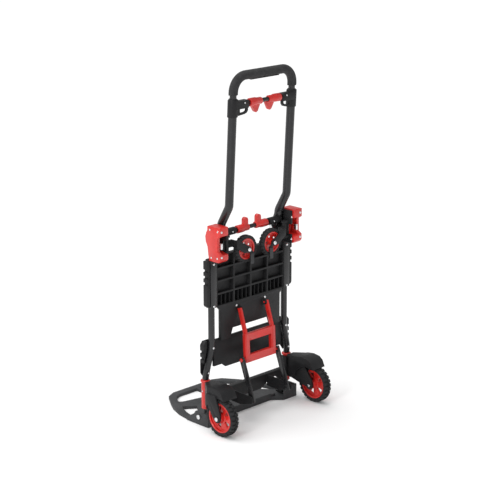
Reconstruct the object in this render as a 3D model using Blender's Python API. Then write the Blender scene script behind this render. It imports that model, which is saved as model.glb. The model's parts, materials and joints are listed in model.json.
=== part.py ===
"""Convertible hand truck: a folding truck whose deck telescopes and whose handle folds forward.

Lengths are in millimetres, turned to metres when a mesh is made. X is to the right as the user stands
behind the truck, Y is forward to the toe plate, Z is up. Y = 0 is the main wheel axle while the shapes are
worked out, and ORIGIN_Y moves them so that the origin lies under the middle of the whole truck.
"""

import math

import bmesh
import bpy
from mathutils import Matrix, Vector

# ---- driving dimensions, in millimetres ----
MM = 0.001
GAP = 0.35                      # running gap between neighbouring pieces

WHEEL_R = 64.0
WHEEL_X = 220.9
WHEEL_HALF = 16.0
RIM_R = 50.0
WHEEL_Y = -7.0
TOE_FRONT = 376.0
TOE_THICK = 11.0
ORIGIN_Y = (TOE_FRONT - WHEEL_R + WHEEL_Y) / 2

RAIL_X = 170.4
RAIL_Y = 96.0
RAIL_R = 11.0
RAIL_WALL = 2.0
RAIL_TOP = 454.0
CHANNEL_LOW = 405.0
CHANNEL_TOP = 569.0
RAIL_FOOT = 160.5
FLARE_TOP = 264.0
FLARE_FOOT = 184.0

POST_X = 192.4
POST_Y = 104.0
POST_R = 13.0
POST_LOW = 58.0
POST_TOP = 158.0

DECK_BACK = 84.0
DECK_FRONT = 105.0
DECK_TOP = 577.0
DECK_HALF = 155.0
TONGUE_FRONT = 96.5
LOWER_DECK_BACK = 97.0
LOWER_DECK_FRONT = 106.0
SLIDE = 114.0

PIVOT_Y = 104.0                 # the handle's fold axis
PIVOT_Z = 622.0
TUBE_X = 132.5
TUBE_R = 14.0
TUBE_WALL = 2.0
LEAN = -0.0553                  # the handle leans back this much for each millimetre up
LEAN_Y = 49.7
LEAN_Z = 744.6
TUBE_TOP = 1097.0

GRIP_R = 11.0
GRIP_TOP = 1167.5
GRIP_BEND = 50.0
FOAM_R = 15.0
FOAM_LOW = 1108.0
GRIP_LOW = 856.0

LOWER_ROD_Y = 82.0
LOWER_ROD_Z = 651.0
UPPER_ROD_Y = 23.5
UPPER_ROD_Z = 1079.0
ROD_R = 7.0
TAB_IN = 15.7
TAB_OUT = 69.0

CASTER_X = 58.8
CASTER_Z = 591.5
CASTER_R = 46.0
CASTER_BACK = 41.0
CASTER_FACE = 63.0
CASTER_PIN_X = 134.0
CASTER_PIN_Y = 61.0

TOE_PIVOT_Y = 115.0
TOE_PIVOT_Z = 28.0

LINK_TOP = (74.0, 378.0)        # toggle link: upper pivot, knee and foot, as (Y, Z)
LINK_KNEE = (41.0, 214.0)
LINK_FOOT = (-6.0, 88.0)
STRAP_X = 82.0

SIDES = (("left", -1.0), ("right", 1.0))


# ---- scene, materials and the making of objects ----
def clear_scene():
    for item in list(bpy.data.objects):
        bpy.data.objects.remove(item, do_unlink=True)


def make_material(name, colour, roughness, metallic=0.0):
    paint = bpy.data.materials.new(name)
    paint.use_nodes = True
    shader = paint.node_tree.nodes["Principled BSDF"]
    shader.inputs["Base Color"].default_value = (*colour, 1.0)
    shader.inputs["Roughness"].default_value = roughness
    shader.inputs["Metallic"].default_value = metallic
    return paint


def place(x, y, z):
    """A point of the working frame as a world point in metres."""
    return Vector((x, y - ORIGIN_Y, z)) * MM


def finish(shape, name, paint, origin=(0.0, 0.0, 0.0), smooth=True):
    """Turn a bmesh in working millimetres into a named object whose own origin is at `origin`."""
    centre = place(*origin)
    for vert in shape.verts:
        vert.co = place(*vert.co) - centre
    bmesh.ops.recalc_face_normals(shape, faces=shape.faces)
    mesh = bpy.data.meshes.new(name)
    shape.to_mesh(mesh)
    shape.free()
    mesh.materials.append(paint)
    item = bpy.data.objects.new(name, mesh)
    item.location = centre
    bpy.context.scene.collection.objects.link(item)
    if smooth:
        mesh.shade_smooth()
        mesh.set_sharp_from_angle(angle=math.radians(35.0))
    return item


def guide(shape, name, paint):
    """An object that only cuts or joins another one."""
    item = finish(shape, name, paint, smooth=False)
    item.hide_render = True
    item.display_type = 'WIRE'
    return item


def combine(item, shapes, operation):
    """Join or cut `item` with each of the shapes."""
    for index, shape in enumerate(shapes):
        tool_name = f"{item.name}_{operation.lower()}_{index}"
        tool = guide(shape, tool_name, item.data.materials[0])
        step = item.modifiers.new(tool_name, 'BOOLEAN')
        step.operation = operation
        step.solver = 'EXACT'
        step.object = tool
    return item


# ---- shapes ----
def prism(outline, axis, low, high, side=1.0):
    """An outline pushed along one axis. The outline's points are the other two coordinates in X, Y, Z order."""
    shape = bmesh.new()
    rings = []
    for level in (low, high):
        ring = []
        for first, second in outline:
            point = [first, second]
            point.insert("XYZ".index(axis), level)
            ring.append(shape.verts.new((point[0] * side, point[1], point[2])))
        rings.append(ring)
    shape.faces.new(rings[0])
    shape.faces.new(list(reversed(rings[1])))
    count = len(outline)
    for index in range(count):
        after = (index + 1) % count
        shape.faces.new((rings[0][index], rings[1][index], rings[1][after], rings[0][after]))
    return shape


def box(low, high, side=1.0):
    corners = [(low[0], low[1]), (high[0], low[1]), (high[0], high[1]), (low[0], high[1])]
    return prism(corners, "Z", low[2], high[2], side)


def frame_across(direction):
    """Two unit vectors square to a direction, the first one level where it can be."""
    along = Vector(direction).normalized()
    level = Vector((1.0, 0.0, 0.0)) if abs(along.x) < 0.9 else Vector((0.0, 1.0, 0.0))
    second = along.cross(level).normalized()
    first = second.cross(along).normalized()
    return first, second


def circle(centre, first, second, radius, sides):
    for index in range(sides):
        turn = 2 * math.pi * index / sides
        yield centre + first * (radius * math.cos(turn)) + second * (radius * math.sin(turn))


def bridge(shape, ring, after):
    count = len(ring)
    for index in range(count):
        step = (index + 1) % count
        shape.faces.new((ring[index], after[index], after[step], ring[step]))


def sweep(points, radius, sides=16, bore=0.0):
    """A round bar along a path, or an open tube when it has a bore. The path stays in one plane."""
    shape = bmesh.new()
    points = [Vector(point) for point in points]
    outer, inner = [], []
    first, second = frame_across(points[1] - points[0])
    last = len(points) - 1
    for index, point in enumerate(points):
        before = points[max(index - 1, 0)]
        after = points[min(index + 1, last)]
        along = (after - before).normalized()
        first = (first - along * first.dot(along)).normalized()
        second = along.cross(first).normalized()
        outer.append([shape.verts.new(co) for co in circle(point, first, second, radius, sides)])
        if bore:
            inner.append([shape.verts.new(co) for co in circle(point, first, second, bore, sides)])
    for index in range(last):
        bridge(shape, outer[index], outer[index + 1])
        if bore:
            bridge(shape, inner[index + 1], inner[index])
    if bore:
        bridge(shape, inner[0], outer[0])
        bridge(shape, outer[-1], inner[-1])
    else:
        shape.faces.new(outer[0])
        shape.faces.new(list(reversed(outer[-1])))
    return shape


def turned(profile, centre, axis, sides=32, closed=False):
    """A profile of (radius, distance along the axis) turned about it. A closed profile makes a ring."""
    shape = bmesh.new()
    along = Vector(axis)
    first, second = frame_across(along)
    rings = []
    for radius, distance in profile:
        middle = Vector(centre) + along * distance
        rings.append([shape.verts.new(co) for co in circle(middle, first, second, radius, sides)])
    for ring, after in zip(rings, rings[1:]):
        bridge(shape, ring, after)
    if closed:
        bridge(shape, rings[-1], rings[0])
    else:
        shape.faces.new(rings[0])
        shape.faces.new(list(reversed(rings[-1])))
    return shape


def bolt(x_low, x_high, y, z, radius, head, head_length, side, sides=12):
    """A bolt along X with a head at its outer end."""
    reach = x_high - x_low
    profile = [(radius, 0.0), (radius, reach - head_length), (head, reach - head_length), (head, reach)]
    return turned(profile, (x_low * side, y, z), (side, 0.0, 0.0), sides)


def arc(centre, radius, start, end, steps):
    """Points on an arc, with its angles in degrees."""
    for index in range(steps + 1):
        turn = math.radians(start + (end - start) * index / steps)
        yield (centre[0] + radius * math.cos(turn), centre[1] + radius * math.sin(turn))


def smooth_path(points, reach, steps=5):
    """Round each inner corner of a path with a quadratic curve that starts `reach` before it."""
    points = [Vector(point) for point in points]
    path = [points[0]]
    for before, corner, after in zip(points, points[1:], points[2:]):
        enter = corner + (before - corner).normalized() * reach
        leave = corner + (after - corner).normalized() * reach
        for index in range(steps + 1):
            t = index / steps
            path.append(enter * (1 - t) ** 2 + corner * (2 * t * (1 - t)) + leave * t ** 2)
    path.append(points[-1])
    return path


def lean_y(z):
    """How far back the handle's straight run is at a height."""
    return LEAN_Y + LEAN * (z - LEAN_Z)


def leaned(shape):
    """Tilt a shape that was built upright at Y = 0 so that it follows the handle."""
    for vert in shape.verts:
        vert.co.y += lean_y(vert.co.z)
    return shape


def rounded_outline(points, reach, steps=3):
    """A closed outline with every corner rounded."""
    outline = []
    count = len(points)
    for index in range(count):
        before = Vector(points[index - 1])
        corner = Vector(points[index])
        after = Vector(points[(index + 1) % count])
        enter = corner + (before - corner).normalized() * reach
        leave = corner + (after - corner).normalized() * reach
        for step in range(steps + 1):
            t = step / steps
            outline.append(tuple(enter * (1 - t) ** 2 + corner * (2 * t * (1 - t)) + leave * t ** 2))
    return outline


# ---- lower frame ----
def make_lower_rail(name, side, paint):
    path = smooth_path([
        (POST_X * side, POST_Y - 1.0, RAIL_FOOT + GAP),
        (POST_X * side - 1.5 * side, POST_Y - 4.0, FLARE_FOOT),
        (RAIL_X * side, RAIL_Y, FLARE_TOP),
        (RAIL_X * side, RAIL_Y, RAIL_TOP),
    ], 10.0, 3)
    finish(sweep(path, RAIL_R, 12, RAIL_R - RAIL_WALL), f"lower_rail_{name}", paint)


def make_post(name, side, paint):
    collar = POST_R + 3.0
    profile = [
        (POST_R, POST_LOW), (POST_R, POST_TOP - 7.5), (collar, POST_TOP - 6.5),
        (collar, POST_TOP - 1.5), (collar - 1.5, POST_TOP),
    ]
    finish(turned(profile, (POST_X * side, POST_Y, 0.0), (0, 0, 1), 24), f"post_{name}", paint)


def make_fork(name, side, paint):
    """A crown behind the post that ends as a mudguard over the tyre, and an arm on each side of it."""
    front = POST_Y - POST_R - GAP
    clear = WHEEL_R + 4.5
    axle = (WHEEL_Y, WHEEL_R)
    under_collar = 86.8
    over = [
        (front, 78.0), (front, 149.6), (under_collar, 149.6), (under_collar, 157.0), (53.0, 158.0), (20.0, 163.0),
        (-8.0, 160.0), (-22.0, 150.0), (-30.0, 134.0),
    ]
    crown = prism(over + list(arc(axle, clear, 112.0, 12.0, 10)), "X", 179.3, 241.0, side)
    item = finish(crown, f"fork_{name}", paint)
    corner = prism([(206.0, 92.0), (262.0, 92.0), (262.0, 30.0), (242.0, 44.0)], "Z", 40.0, 200.0, side)
    combine(item, [corner], 'DIFFERENCE')
    tip = list(arc(axle, 14.0, 200.0, 330.0, 8))
    inner = prism([(front, 76.0), (front, 149.0), (41.0, 149.0), (17.0, 128.0), (-18.0, 84.0)] + tip + [(23.0, 60.0)],
                  "X", 190.0, 197.0, side)
    outer = prism([(44.0, 112.0), (44.0, 140.0), (2.0, 140.0), (-21.0, 82.0)] + tip + [(14.0, 66.0)],
                  "X", 239.5, 246.5, side)
    combine(item, [inner, outer], 'UNION')
    bore = turned([(5.3, 180.0), (5.3, 260.0)], (0.0, WHEEL_Y, WHEEL_R), (side, 0, 0), 16)
    combine(item, [bore], 'DIFFERENCE')


def make_axle(name, side, paint):
    shaft = bolt(188.0, 250.5, WHEEL_Y, WHEEL_R, 5.0, 7.0, 3.7, side, 16)
    finish(shaft, f"wheel_axle_{name}", paint)


def make_cross_member(paint):
    """A channel between the posts whose legs arch down to the toe plate's pivots, with two rear brackets."""
    half = POST_X - POST_R - 2 * GAP
    front, back = 113.0, 96.0
    right = [
        (0.0, 60.0), (62.0, 60.0), (92.0, 78.0), (126.0, 88.0), (150.0, 78.0), (163.0, 52.0), (163.0, 17.0),
        (half, 17.0), (half, 107.0),
    ]
    outline = right + [(-x, z) for x, z in reversed(right[1:])]
    item = finish(prism(outline, "Y", back, front), "cross_member", paint)
    pocket = [
        (0.0, 64.0), (60.0, 64.0), (90.0, 82.0), (126.0, 92.0), (153.0, 82.0), (167.0, 54.0), (167.0, 46.0),
        (half - 4.0, 46.0), (half - 4.0, 103.0),
    ]
    pocket += [(-x, z) for x, z in reversed(pocket[1:])]
    combine(item, [prism(pocket, "Y", back + 4.0, front + 5.0)], 'DIFFERENCE')
    foot_y, foot_z = LINK_FOOT
    bracket = [(back + 1.0, 64.0), (back + 1.0, 103.0), (60.0, 102.0), (10.0, 101.0)]
    bracket += list(arc((foot_y, foot_z), 13.0, 90.0, 270.0, 8)) + [(40.0, 62.0)]
    joined = []
    for _, side in SIDES:
        joined.append(prism(bracket, "X", STRAP_X + 8.0, STRAP_X + 12.0, side))
        joined.append(box((171.9, 86.0, 60.0), (half, 117.0, 149.0), side))
        joined.append(bolt(STRAP_X + 10.0, STRAP_X + 4.8, foot_y, foot_z, 5.0, 5.0, -2.0, side))
        joined.append(box((163.0, 100.0, 15.6), (half, 125.0, 44.0), side))
    combine(item, joined, 'UNION')
    bore = turned([(5.0, -200.0), (5.0, 200.0)], (0.0, TOE_PIVOT_Y, TOE_PIVOT_Z), (1, 0, 0), 16)
    combine(item, [bore], 'DIFFERENCE')


def make_toe_bolt(name, side, paint):
    shaft = bolt(158.0, 216.5, TOE_PIVOT_Y, TOE_PIVOT_Z, 4.6, 8.0, 4.0, side, 16)
    finish(shaft, f"toe_pivot_bolt_{name}", paint)


def make_lower_deck(paint):
    """A panel between the lower rails, with pockets in its back below the sliding tongue."""
    half = RAIL_X - RAIL_R - 2 * GAP
    outline = [
        (-half, 196.0), (-120.0, 196.0), (-104.0, 183.0), (104.0, 183.0), (120.0, 196.0), (half, 196.0),
        (half, 280.0), (half - 8.0, 289.0), (8.0 - half, 289.0), (-half, 280.0),
    ]
    finish(prism(outline, "Y", LOWER_DECK_BACK, LOWER_DECK_FRONT), "lower_deck", paint)


def notched_side(edge, low, high, places, depth, width):
    """An outline's straight side, from low to high, with square notches cut into it."""
    points = [(edge, low)]
    for place_z in places:
        points += [
            (edge, place_z - width / 2), (edge - depth, place_z - width / 2),
            (edge - depth, place_z + width / 2), (edge, place_z + width / 2),
        ]
    return points + [(edge, high)]


def make_lower_wing(name, side, paint):
    """A plate in front of the rail whose outboard part is thicker, with a notched edge."""
    edge = notched_side(202.0, 180.0, 278.0, (232.0, 254.0), 6.0, 8.0)
    outline = [(186.0, 168.0), (194.0, 168.0)] + edge + [(192.0, 290.0), (161.0, 290.0), (161.0, 206.0)]
    item = finish(prism(outline, "Y", 114.6, 119.0, side), f"lower_wing_{name}", paint)
    thick = notched_side(202.0, 216.0, 278.0, (232.0, 254.0), 6.0, 8.0)
    thick += [(192.0, 290.0), (RAIL_X + RAIL_R + 2.0, 290.0), (RAIL_X + RAIL_R + 2.0, 268.0), (198.0, 216.0)]
    combine(item, [prism(thick, "Y", 100.0, 116.0, side)], 'UNION')


# ---- main wheels ----
def make_wheel(name, side, tyre_paint, rim_paint):
    centre = (WHEEL_X * side, WHEEL_Y, WHEEL_R)
    axis = (1.0, 0.0, 0.0)
    half = WHEEL_HALF
    tread = [
        (RIM_R + GAP, -half + 3.0), (WHEEL_R - 6.0, -half), (WHEEL_R - 1.5, -half + 5.0), (WHEEL_R, -half + 9.0),
        (WHEEL_R, half - 9.0), (WHEEL_R - 1.5, half - 5.0), (WHEEL_R - 6.0, half), (RIM_R + GAP, half - 3.0),
    ]
    finish(turned(tread, centre, axis, 32, True), f"tyre_{name}", tyre_paint, centre)
    rim = [
        (5.4, -18.0), (14.0, -18.0), (16.0, -6.0), (38.0, -4.0), (43.0, -13.0), (RIM_R, -13.0),
        (RIM_R, 13.0), (43.0, 13.0), (38.0, 4.0), (16.0, 6.0), (14.0, 18.0), (5.4, 18.0),
    ]
    finish(turned(rim, centre, axis, 24, True), f"rim_{name}", rim_paint, centre)


# ---- toe plate ----
def make_toe_plate(paint):
    right = [(92.0, TOE_FRONT), (127.0, 360.0), (157.0, 316.0), (181.0, 278.0), (201.0, 225.0), (212.0, 156.0)]
    right += [(212.0, 72.0), (150.0, 72.0), (138.0, 84.0), (116.0, 104.0)]
    outline = right + [(-x, y) for x, y in reversed(right)]
    origin = (0.0, TOE_PIVOT_Y, TOE_PIVOT_Z)
    item = finish(prism(outline, "Z", 0.0, TOE_THICK), "toe_plate", paint, origin)
    walls = []
    for _, side in SIDES:
        flange = [(72.0, 1.0), (176.0, 1.0), (176.0, 12.0), (140.0, 34.0), (132.0, 45.0), (72.0, 45.0)]
        walls.append(prism(flange, "X", 206.0, 212.0, side))
        walls.append(box((150.0, 72.0, 1.0), (211.0, 77.0, 45.0), side))
        walls.append(box((92.0, 104.0, 1.0), (140.0, 112.0, 20.0), side))
    walls.append(box((-120.0, 104.0, 1.0), (120.0, 110.0, 24.0)))
    combine(item, walls, 'UNION')
    cuts = []
    for _, side in SIDES:
        front = [(5.0, 348.0), (88.0, 348.0), (112.0, 336.0), (138.0, 298.0), (124.0, 288.0), (5.0, 262.0)]
        flank = [(118.0, 226.0), (160.0, 256.0), (182.0, 210.0), (194.0, 160.0), (194.0, 146.0), (182.0, 146.0)]
        cuts.append(prism(rounded_outline(front, 5.0, 2), "Z", -5.0, 16.0, side))
        cuts.append(prism(rounded_outline(flank, 5.0, 2), "Z", -5.0, 16.0, side))
    cuts.append(turned([(5.0, -230.0), (5.0, 230.0)], (0.0, TOE_PIVOT_Y, TOE_PIVOT_Z), (1, 0, 0), 16))
    combine(item, cuts, 'DIFFERENCE')


# ---- upper frame ----
def make_channel(name, side, paint):
    low, high = CHANNEL_LOW, CHANNEL_TOP
    outline = rounded_outline([(157.0, 82.0), (184.0, 82.0), (184.0, 109.5), (157.0, 109.5)], 3.0, 2)
    item = finish(prism(outline, "Z", low, high, side), f"upper_channel_{name}", paint)
    room = RAIL_R + GAP
    hollow = box((RAIL_X - room, RAIL_Y - room, low - 5.0), (RAIL_X + room, RAIL_Y + room, high + 5.0), side)
    combine(item, [hollow], 'DIFFERENCE')


def make_upper_deck(paint):
    """A ribbed panel: four columns and four rows of pockets, and a tongue that slides behind the lower deck."""
    half = RAIL_X - RAIL_R - 3.5
    body = [
        (-half, 405.0), (half, 405.0), (half, 567.0), (141.0, 569.0),
        (141.0, DECK_TOP), (-141.0, DECK_TOP), (-141.0, 569.0), (-half, 567.0),
    ]
    item = finish(prism(body, "Y", DECK_BACK, DECK_FRONT), "upper_deck", paint)
    tongue = [
        (-148.0, 408.0), (-148.0, 400.0), (-138.0, 390.0), (-138.0, 286.0), (-96.0, 286.0), (-84.0, 318.0),
        (84.0, 318.0), (96.0, 286.0), (138.0, 286.0), (138.0, 390.0), (148.0, 400.0), (148.0, 408.0),
    ]
    pieces = [prism(tongue, "Y", DECK_BACK, TONGUE_FRONT)]
    top_y, top_z = LINK_TOP
    lug = [(DECK_BACK + 2.0, top_z - 14.0), (DECK_BACK + 2.0, top_z + 14.0)]
    lug += list(arc((top_y, top_z), 9.0, 80.0, 280.0, 8))
    for _, side in SIDES:
        pieces.append(prism(lug, "X", 53.0, 57.5, side))
    combine(item, pieces, 'UNION')
    pockets = []
    columns, rows = 4, 4
    step_x = 2 * half / columns
    step_z = (DECK_TOP - CHANNEL_LOW) / rows
    for column in range(columns):
        for row in range(rows):
            x = -half + step_x * column
            z = CHANNEL_LOW + step_z * row
            low = (x + 3.0, DECK_BACK - 5.0, z + 3.0)
            pockets.append(box(low, (x + step_x - 3.0, DECK_FRONT - 4.0, z + step_z - 3.0)))
    bore = turned([(3.6, -60.0), (3.6, 60.0)], (0.0, top_y, top_z), (1, 0, 0), 12)
    combine(item, pockets + [bore], 'DIFFERENCE')


def make_upper_wing(name, side, paint):
    inner = 184.0 + GAP
    edge = notched_side(197.5, 420.0, 567.0, (490.0, 512.0, 534.0), 6.0, 8.0)
    outline = [(inner, 409.0), (190.0, 409.0), (196.0, 413.0)] + edge + [(inner, 567.0)]
    finish(prism(outline, "Y", 85.0, DECK_FRONT, side), f"upper_wing_{name}", paint)


def make_housing(name, side, paint):
    """A red C-shaped cover: two rear jaws with a recess between them, notched where the caster's arm swings in."""
    profile = [
        (33.0, 578.0), (40.0, 570.0), (84.0, 570.0), (88.0, 588.0), (92.0, 617.0), (100.0, 632.0), (102.0, 649.0),
        (97.0, 664.0), (92.0, 672.0), (92.0, 684.0), (88.0, 686.0), (33.0, 686.0), (33.0, 658.0), (46.0, 650.0),
        (46.0, 606.0), (33.0, 598.0),
    ]
    item = finish(prism(profile, "X", 153.0, 190.0, side), f"hinge_housing_{name}", paint)
    notch = [(30.0, 594.0), (44.0, 596.0), (74.0, 604.0), (74.0, 648.0), (44.0, 656.0), (30.0, 658.0)]
    combine(item, [prism(notch, "X", 140.0, 178.0, side)], 'DIFFERENCE')


def make_hinge_plate(name, side, paint):
    """The plate beside the handle's foot, with two lugs that hold the caster's pivot pin."""
    profile = [
        (41.0, 571.0), (118.0, 571.0), (121.0, 640.0), (118.0, 668.0), (100.0, 682.0), (41.0, 682.0),
        (41.0, 636.0), (57.0, 635.0), (57.0, 601.0), (41.0, 600.0),
    ]
    item = finish(prism(profile, "X", 146.9, 152.6, side), f"hinge_plate_{name}", paint)
    lugs = []
    for low in (589.0, 641.0):
        lugs.append(box((CASTER_PIN_X - 8.0, CASTER_PIN_Y - 8.0, low), (147.5, CASTER_PIN_Y + 8.0, low + 7.0), side))
    lugs.append(turned([(3.0, 586.0), (3.0, 651.0)], (CASTER_PIN_X * side, CASTER_PIN_Y, 0.0), (0, 0, 1), 12))
    combine(item, lugs, 'UNION')
    bore = turned([(4.4, 140.0), (4.4, 156.0)], (0.0, PIVOT_Y, PIVOT_Z), (side, 0, 0), 16)
    combine(item, [bore], 'DIFFERENCE')


def make_latch(name, side, paint):
    finish(box((170.0, 40.0, 612.0), (177.7, 52.0, 632.0), side), f"hinge_latch_{name}", paint)


def make_handle_pivot(name, side, paint):
    shaft = bolt(152.8, TUBE_X - 20.0, PIVOT_Y, PIVOT_Z, 4.0, 7.0, -3.6, side, 16)
    finish(shaft, f"handle_pivot_{name}", paint)


# ---- toggle link ----
def bent_bar(points, width):
    """The outline of a flat bar that follows a few points, given as (Y, Z)."""
    points = [Vector(point) for point in points]
    left, right = [], []
    for index, point in enumerate(points):
        before = points[max(index - 1, 0)]
        after = points[min(index + 1, len(points) - 1)]
        along = (after - before).normalized()
        across = Vector((-along.y, along.x)) * (width / 2)
        left.append(tuple(point + across))
        right.append(tuple(point - across))
    return left + right[::-1]


def make_release_frame(paint):
    """A red ladder frame: two bent side arms, two cross bars, and pivot stubs at its top and its knee."""
    top_y, top_z = LINK_TOP
    knee_y, knee_z = LINK_KNEE
    line = [(top_y, top_z + 5.0), (46.0, 296.0), (knee_y, knee_z - 7.0)]
    origin = (0.0, top_y, top_z)
    item = finish(prism(bent_bar(line, 14.0), "X", 58.0, 66.0), "release_frame", paint, origin)
    pieces = [prism(bent_bar(line, 14.0), "X", 58.0, 66.0, -1.0)]
    for low, high in ((275.0, 300.0), (201.0, 227.0)):
        middle = 46.0 + (knee_y - 46.0) * (296.0 - (low + high) / 2) / (296.0 - knee_z)
        pieces.append(box((-60.0, middle - 6.0, low), (60.0, middle + 6.0, high)))
    for _, side in SIDES:
        rail = bent_bar([(46.0, 300.0), (knee_y, 201.0)], 13.0)
        pieces.append(prism(rail, "X", 51.0, 70.0, side))
        pieces.append(bolt(62.0, 51.0, top_y, top_z, 3.2, 3.2, -2.0, side))
        pieces.append(bolt(62.0, STRAP_X + 6.4, knee_y, knee_z, 4.0, 6.5, 2.0, side))
    combine(item, pieces, 'UNION')


def make_strap(name, side, paint):
    knee_y, knee_z = LINK_KNEE
    foot_y, foot_z = LINK_FOOT
    along = Vector((foot_y - knee_y, foot_z - knee_z)).normalized()
    start = Vector(LINK_KNEE) - along * 9.0
    end = Vector(LINK_FOOT) + along * 12.0
    bar = prism(bent_bar([start, end], 20.0), "X", STRAP_X - 3.0, STRAP_X + 4.0, side)
    item = finish(bar, f"strap_arm_{name}", paint, (0.0, knee_y, knee_z))
    knee = turned([(4.3, STRAP_X - 8.0), (4.3, STRAP_X + 8.0)], (0.0, knee_y, knee_z), (side, 0, 0), 16)
    combine(item, [knee], 'DIFFERENCE')
    combine(item, [bolt(STRAP_X, STRAP_X - 6.0, foot_y, foot_z, 7.0, 7.0, -2.0, side)], 'UNION')


# ---- handle ----
def make_handle_tube(name, side, paint):
    x = TUBE_X * side
    path = smooth_path([
        (x, PIVOT_Y, PIVOT_Z - 13.0), (x, PIVOT_Y, PIVOT_Z + 6.0), (x, 87.2, 668.0), (x, 86.4, 681.0),
        (x, LEAN_Y, LEAN_Z), (x, lean_y(TUBE_TOP), TUBE_TOP),
    ], 8.0, 3)
    tube = sweep(path, TUBE_R, 12, TUBE_R - TUBE_WALL)
    item = finish(tube, f"handle_tube_{name}", paint, (0.0, PIVOT_Y, PIVOT_Z))
    pivot_hole = turned([(4.4, 100.0), (4.4, 150.0)], (0.0, PIVOT_Y, PIVOT_Z), (side, 0, 0), 16)
    combine(item, [pivot_hole], 'DIFFERENCE')


def make_lower_sleeve(name, side, paint):
    """The black sleeve that holds the lower cross rod to the tube."""
    sleeve = turned([(12.5, 79.0), (12.5, TUBE_X)], (0.0, LOWER_ROD_Y, LOWER_ROD_Z), (side, 0, 0), 20)
    item = finish(sleeve, f"lower_sleeve_{name}", paint, (0.0, PIVOT_Y, PIVOT_Z))
    loose = TUBE_R + 3 * GAP
    room = turned([(loose, 0.0), (loose, 60.0)], (TUBE_X * side, 100.1, 634.0), (0, -0.3247, 0.9458), 20)
    bore = turned([(ROD_R + GAP, 70.0), (ROD_R + GAP, 140.0)], (0.0, LOWER_ROD_Y, LOWER_ROD_Z), (side, 0, 0), 16)
    combine(item, [room, bore], 'DIFFERENCE')


def make_rod(name, y, z, half, paint, origin):
    rod = sweep([(-half, y, z), (half, y, z)], ROD_R, 16, ROD_R - 2.5)
    finish(rod, name, paint, origin)


def make_upper_bracket(name, side, paint):
    """A clamp on the tube's top with an arm to the cross rod and a thin finger loop under it."""
    sleeve = turned([(17.0, 1039.0), (17.0, 1093.0), (15.5, 1095.0)], (TUBE_X * side, 0.0, 0.0), (0, 0, 1), 24)
    item = finish(leaned(sleeve), f"upper_bracket_{name}", paint, (0.0, PIVOT_Y, PIVOT_Z))
    arm = [(TUBE_X, 1090.0), (80.0, 1090.0), (76.0, 1086.0), (76.0, 1068.0), (80.0, 1064.0), (TUBE_X, 1064.0)]
    loop = [(TUBE_X, 1070.0), (76.0, 1070.0), (76.0, 1056.0), (82.0, 1048.0), (92.0, 1045.0), (TUBE_X, 1041.0)]
    parts = [
        prism(arm, "Y", UPPER_ROD_Y - 9.0, UPPER_ROD_Y + 11.0, side),
        prism(loop, "Y", UPPER_ROD_Y - 3.5, UPPER_ROD_Y + 2.5, side),
    ]
    combine(item, parts, 'UNION')
    hole = rounded_outline([(84.0, 1063.0), (112.0, 1063.0), (112.0, 1050.5), (94.0, 1051.5), (86.0, 1055.0)], 2.0, 2)
    finger = prism(hole, "Y", 0.0, 60.0, side)
    room = TUBE_R + GAP
    bore = turned([(room, 1020.0), (room, 1110.0)], (TUBE_X * side, 0.0, 0.0), (0, 0, 1), 24)
    rod = turned([(ROD_R + GAP, 60.0), (ROD_R + GAP, 110.0)], (0.0, UPPER_ROD_Y, UPPER_ROD_Z), (side, 0, 0), 16)
    combine(item, [finger, leaned(bore), rod], 'DIFFERENCE')


def make_tab(name, side, y, z, reach, paint):
    """A red squeeze tab: a sleeve on the cross rod with a finger prong above it or a trigger below it."""
    sleeve = turned([
        (10.5, TAB_IN), (11.5, TAB_IN + 2.0), (11.5, TAB_IN + 20.0), (13.5, TAB_IN + 26.0), (13.5, TAB_OUT - 2.0),
        (12.5, TAB_OUT),
    ], (0.0, y, z), (side, 0, 0), 16)
    item = finish(sleeve, name, paint, ((TAB_IN + TAB_OUT) / 2 * side, y, z))
    if reach > 0:
        tip = 9.5
        middle = TAB_IN + 14.0
        prong = list(arc((middle, z + reach), tip, 0.0, 180.0, 8)) + [(middle - tip, z), (middle + tip, z)]
        finger = prism(prong, "Y", y - 6.5, y + 6.5, side)
    else:
        prong = [
            (54.0, z - 8.0), (11.0, z - 8.0), (24.0, z + reach + 4.0), (31.0, z + reach), (38.0, z + reach + 4.0),
        ]
        finger = prism(prong, "Y", y + 5.0, y + 16.0, side)
    combine(item, [finger], 'UNION')
    bore = turned([(ROD_R + GAP, 0.0), (ROD_R + GAP, 90.0)], (0.0, y, z), (side, 0, 0), 16)
    combine(item, [bore], 'DIFFERENCE')


def make_lock_pin(name, side, y, z, tip, paint):
    """The pin inside the cross rod that a squeeze tab draws inwards."""
    pin = turned([(3.4, TAB_OUT - 20.0), (3.4, tip - 2.0), (2.4, tip)], (0.0, y, z), (side, 0, 0), 12)
    finish(pin, name, paint, (tip * side, y, z))


# ---- grip ----
def grip_path(low, corner_steps):
    """Up one leg, over the bar and down the other. The legs follow the handle's lean."""
    half = TUBE_X
    points = [(-half, lean_y(low), low)]
    for centre_x, start, end in ((-half + GRIP_BEND, 180.0, 90.0), (half - GRIP_BEND, 90.0, 0.0)):
        for x, z in arc((centre_x, GRIP_TOP - GRIP_BEND), GRIP_BEND, start, end, corner_steps):
            points.append((x, lean_y(z), z))
    points.append((half, lean_y(low), low))
    return points


def make_grip(tube_paint, foam_paint):
    origin = (0.0, lean_y(TUBE_TOP), TUBE_TOP)
    finish(sweep(grip_path(GRIP_LOW, 6), GRIP_R, 12), "grip_tube", tube_paint, origin)
    finish(sweep(grip_path(FOAM_LOW, 6), FOAM_R, 12, GRIP_R + GAP), "grip_foam", foam_paint, origin)


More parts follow.
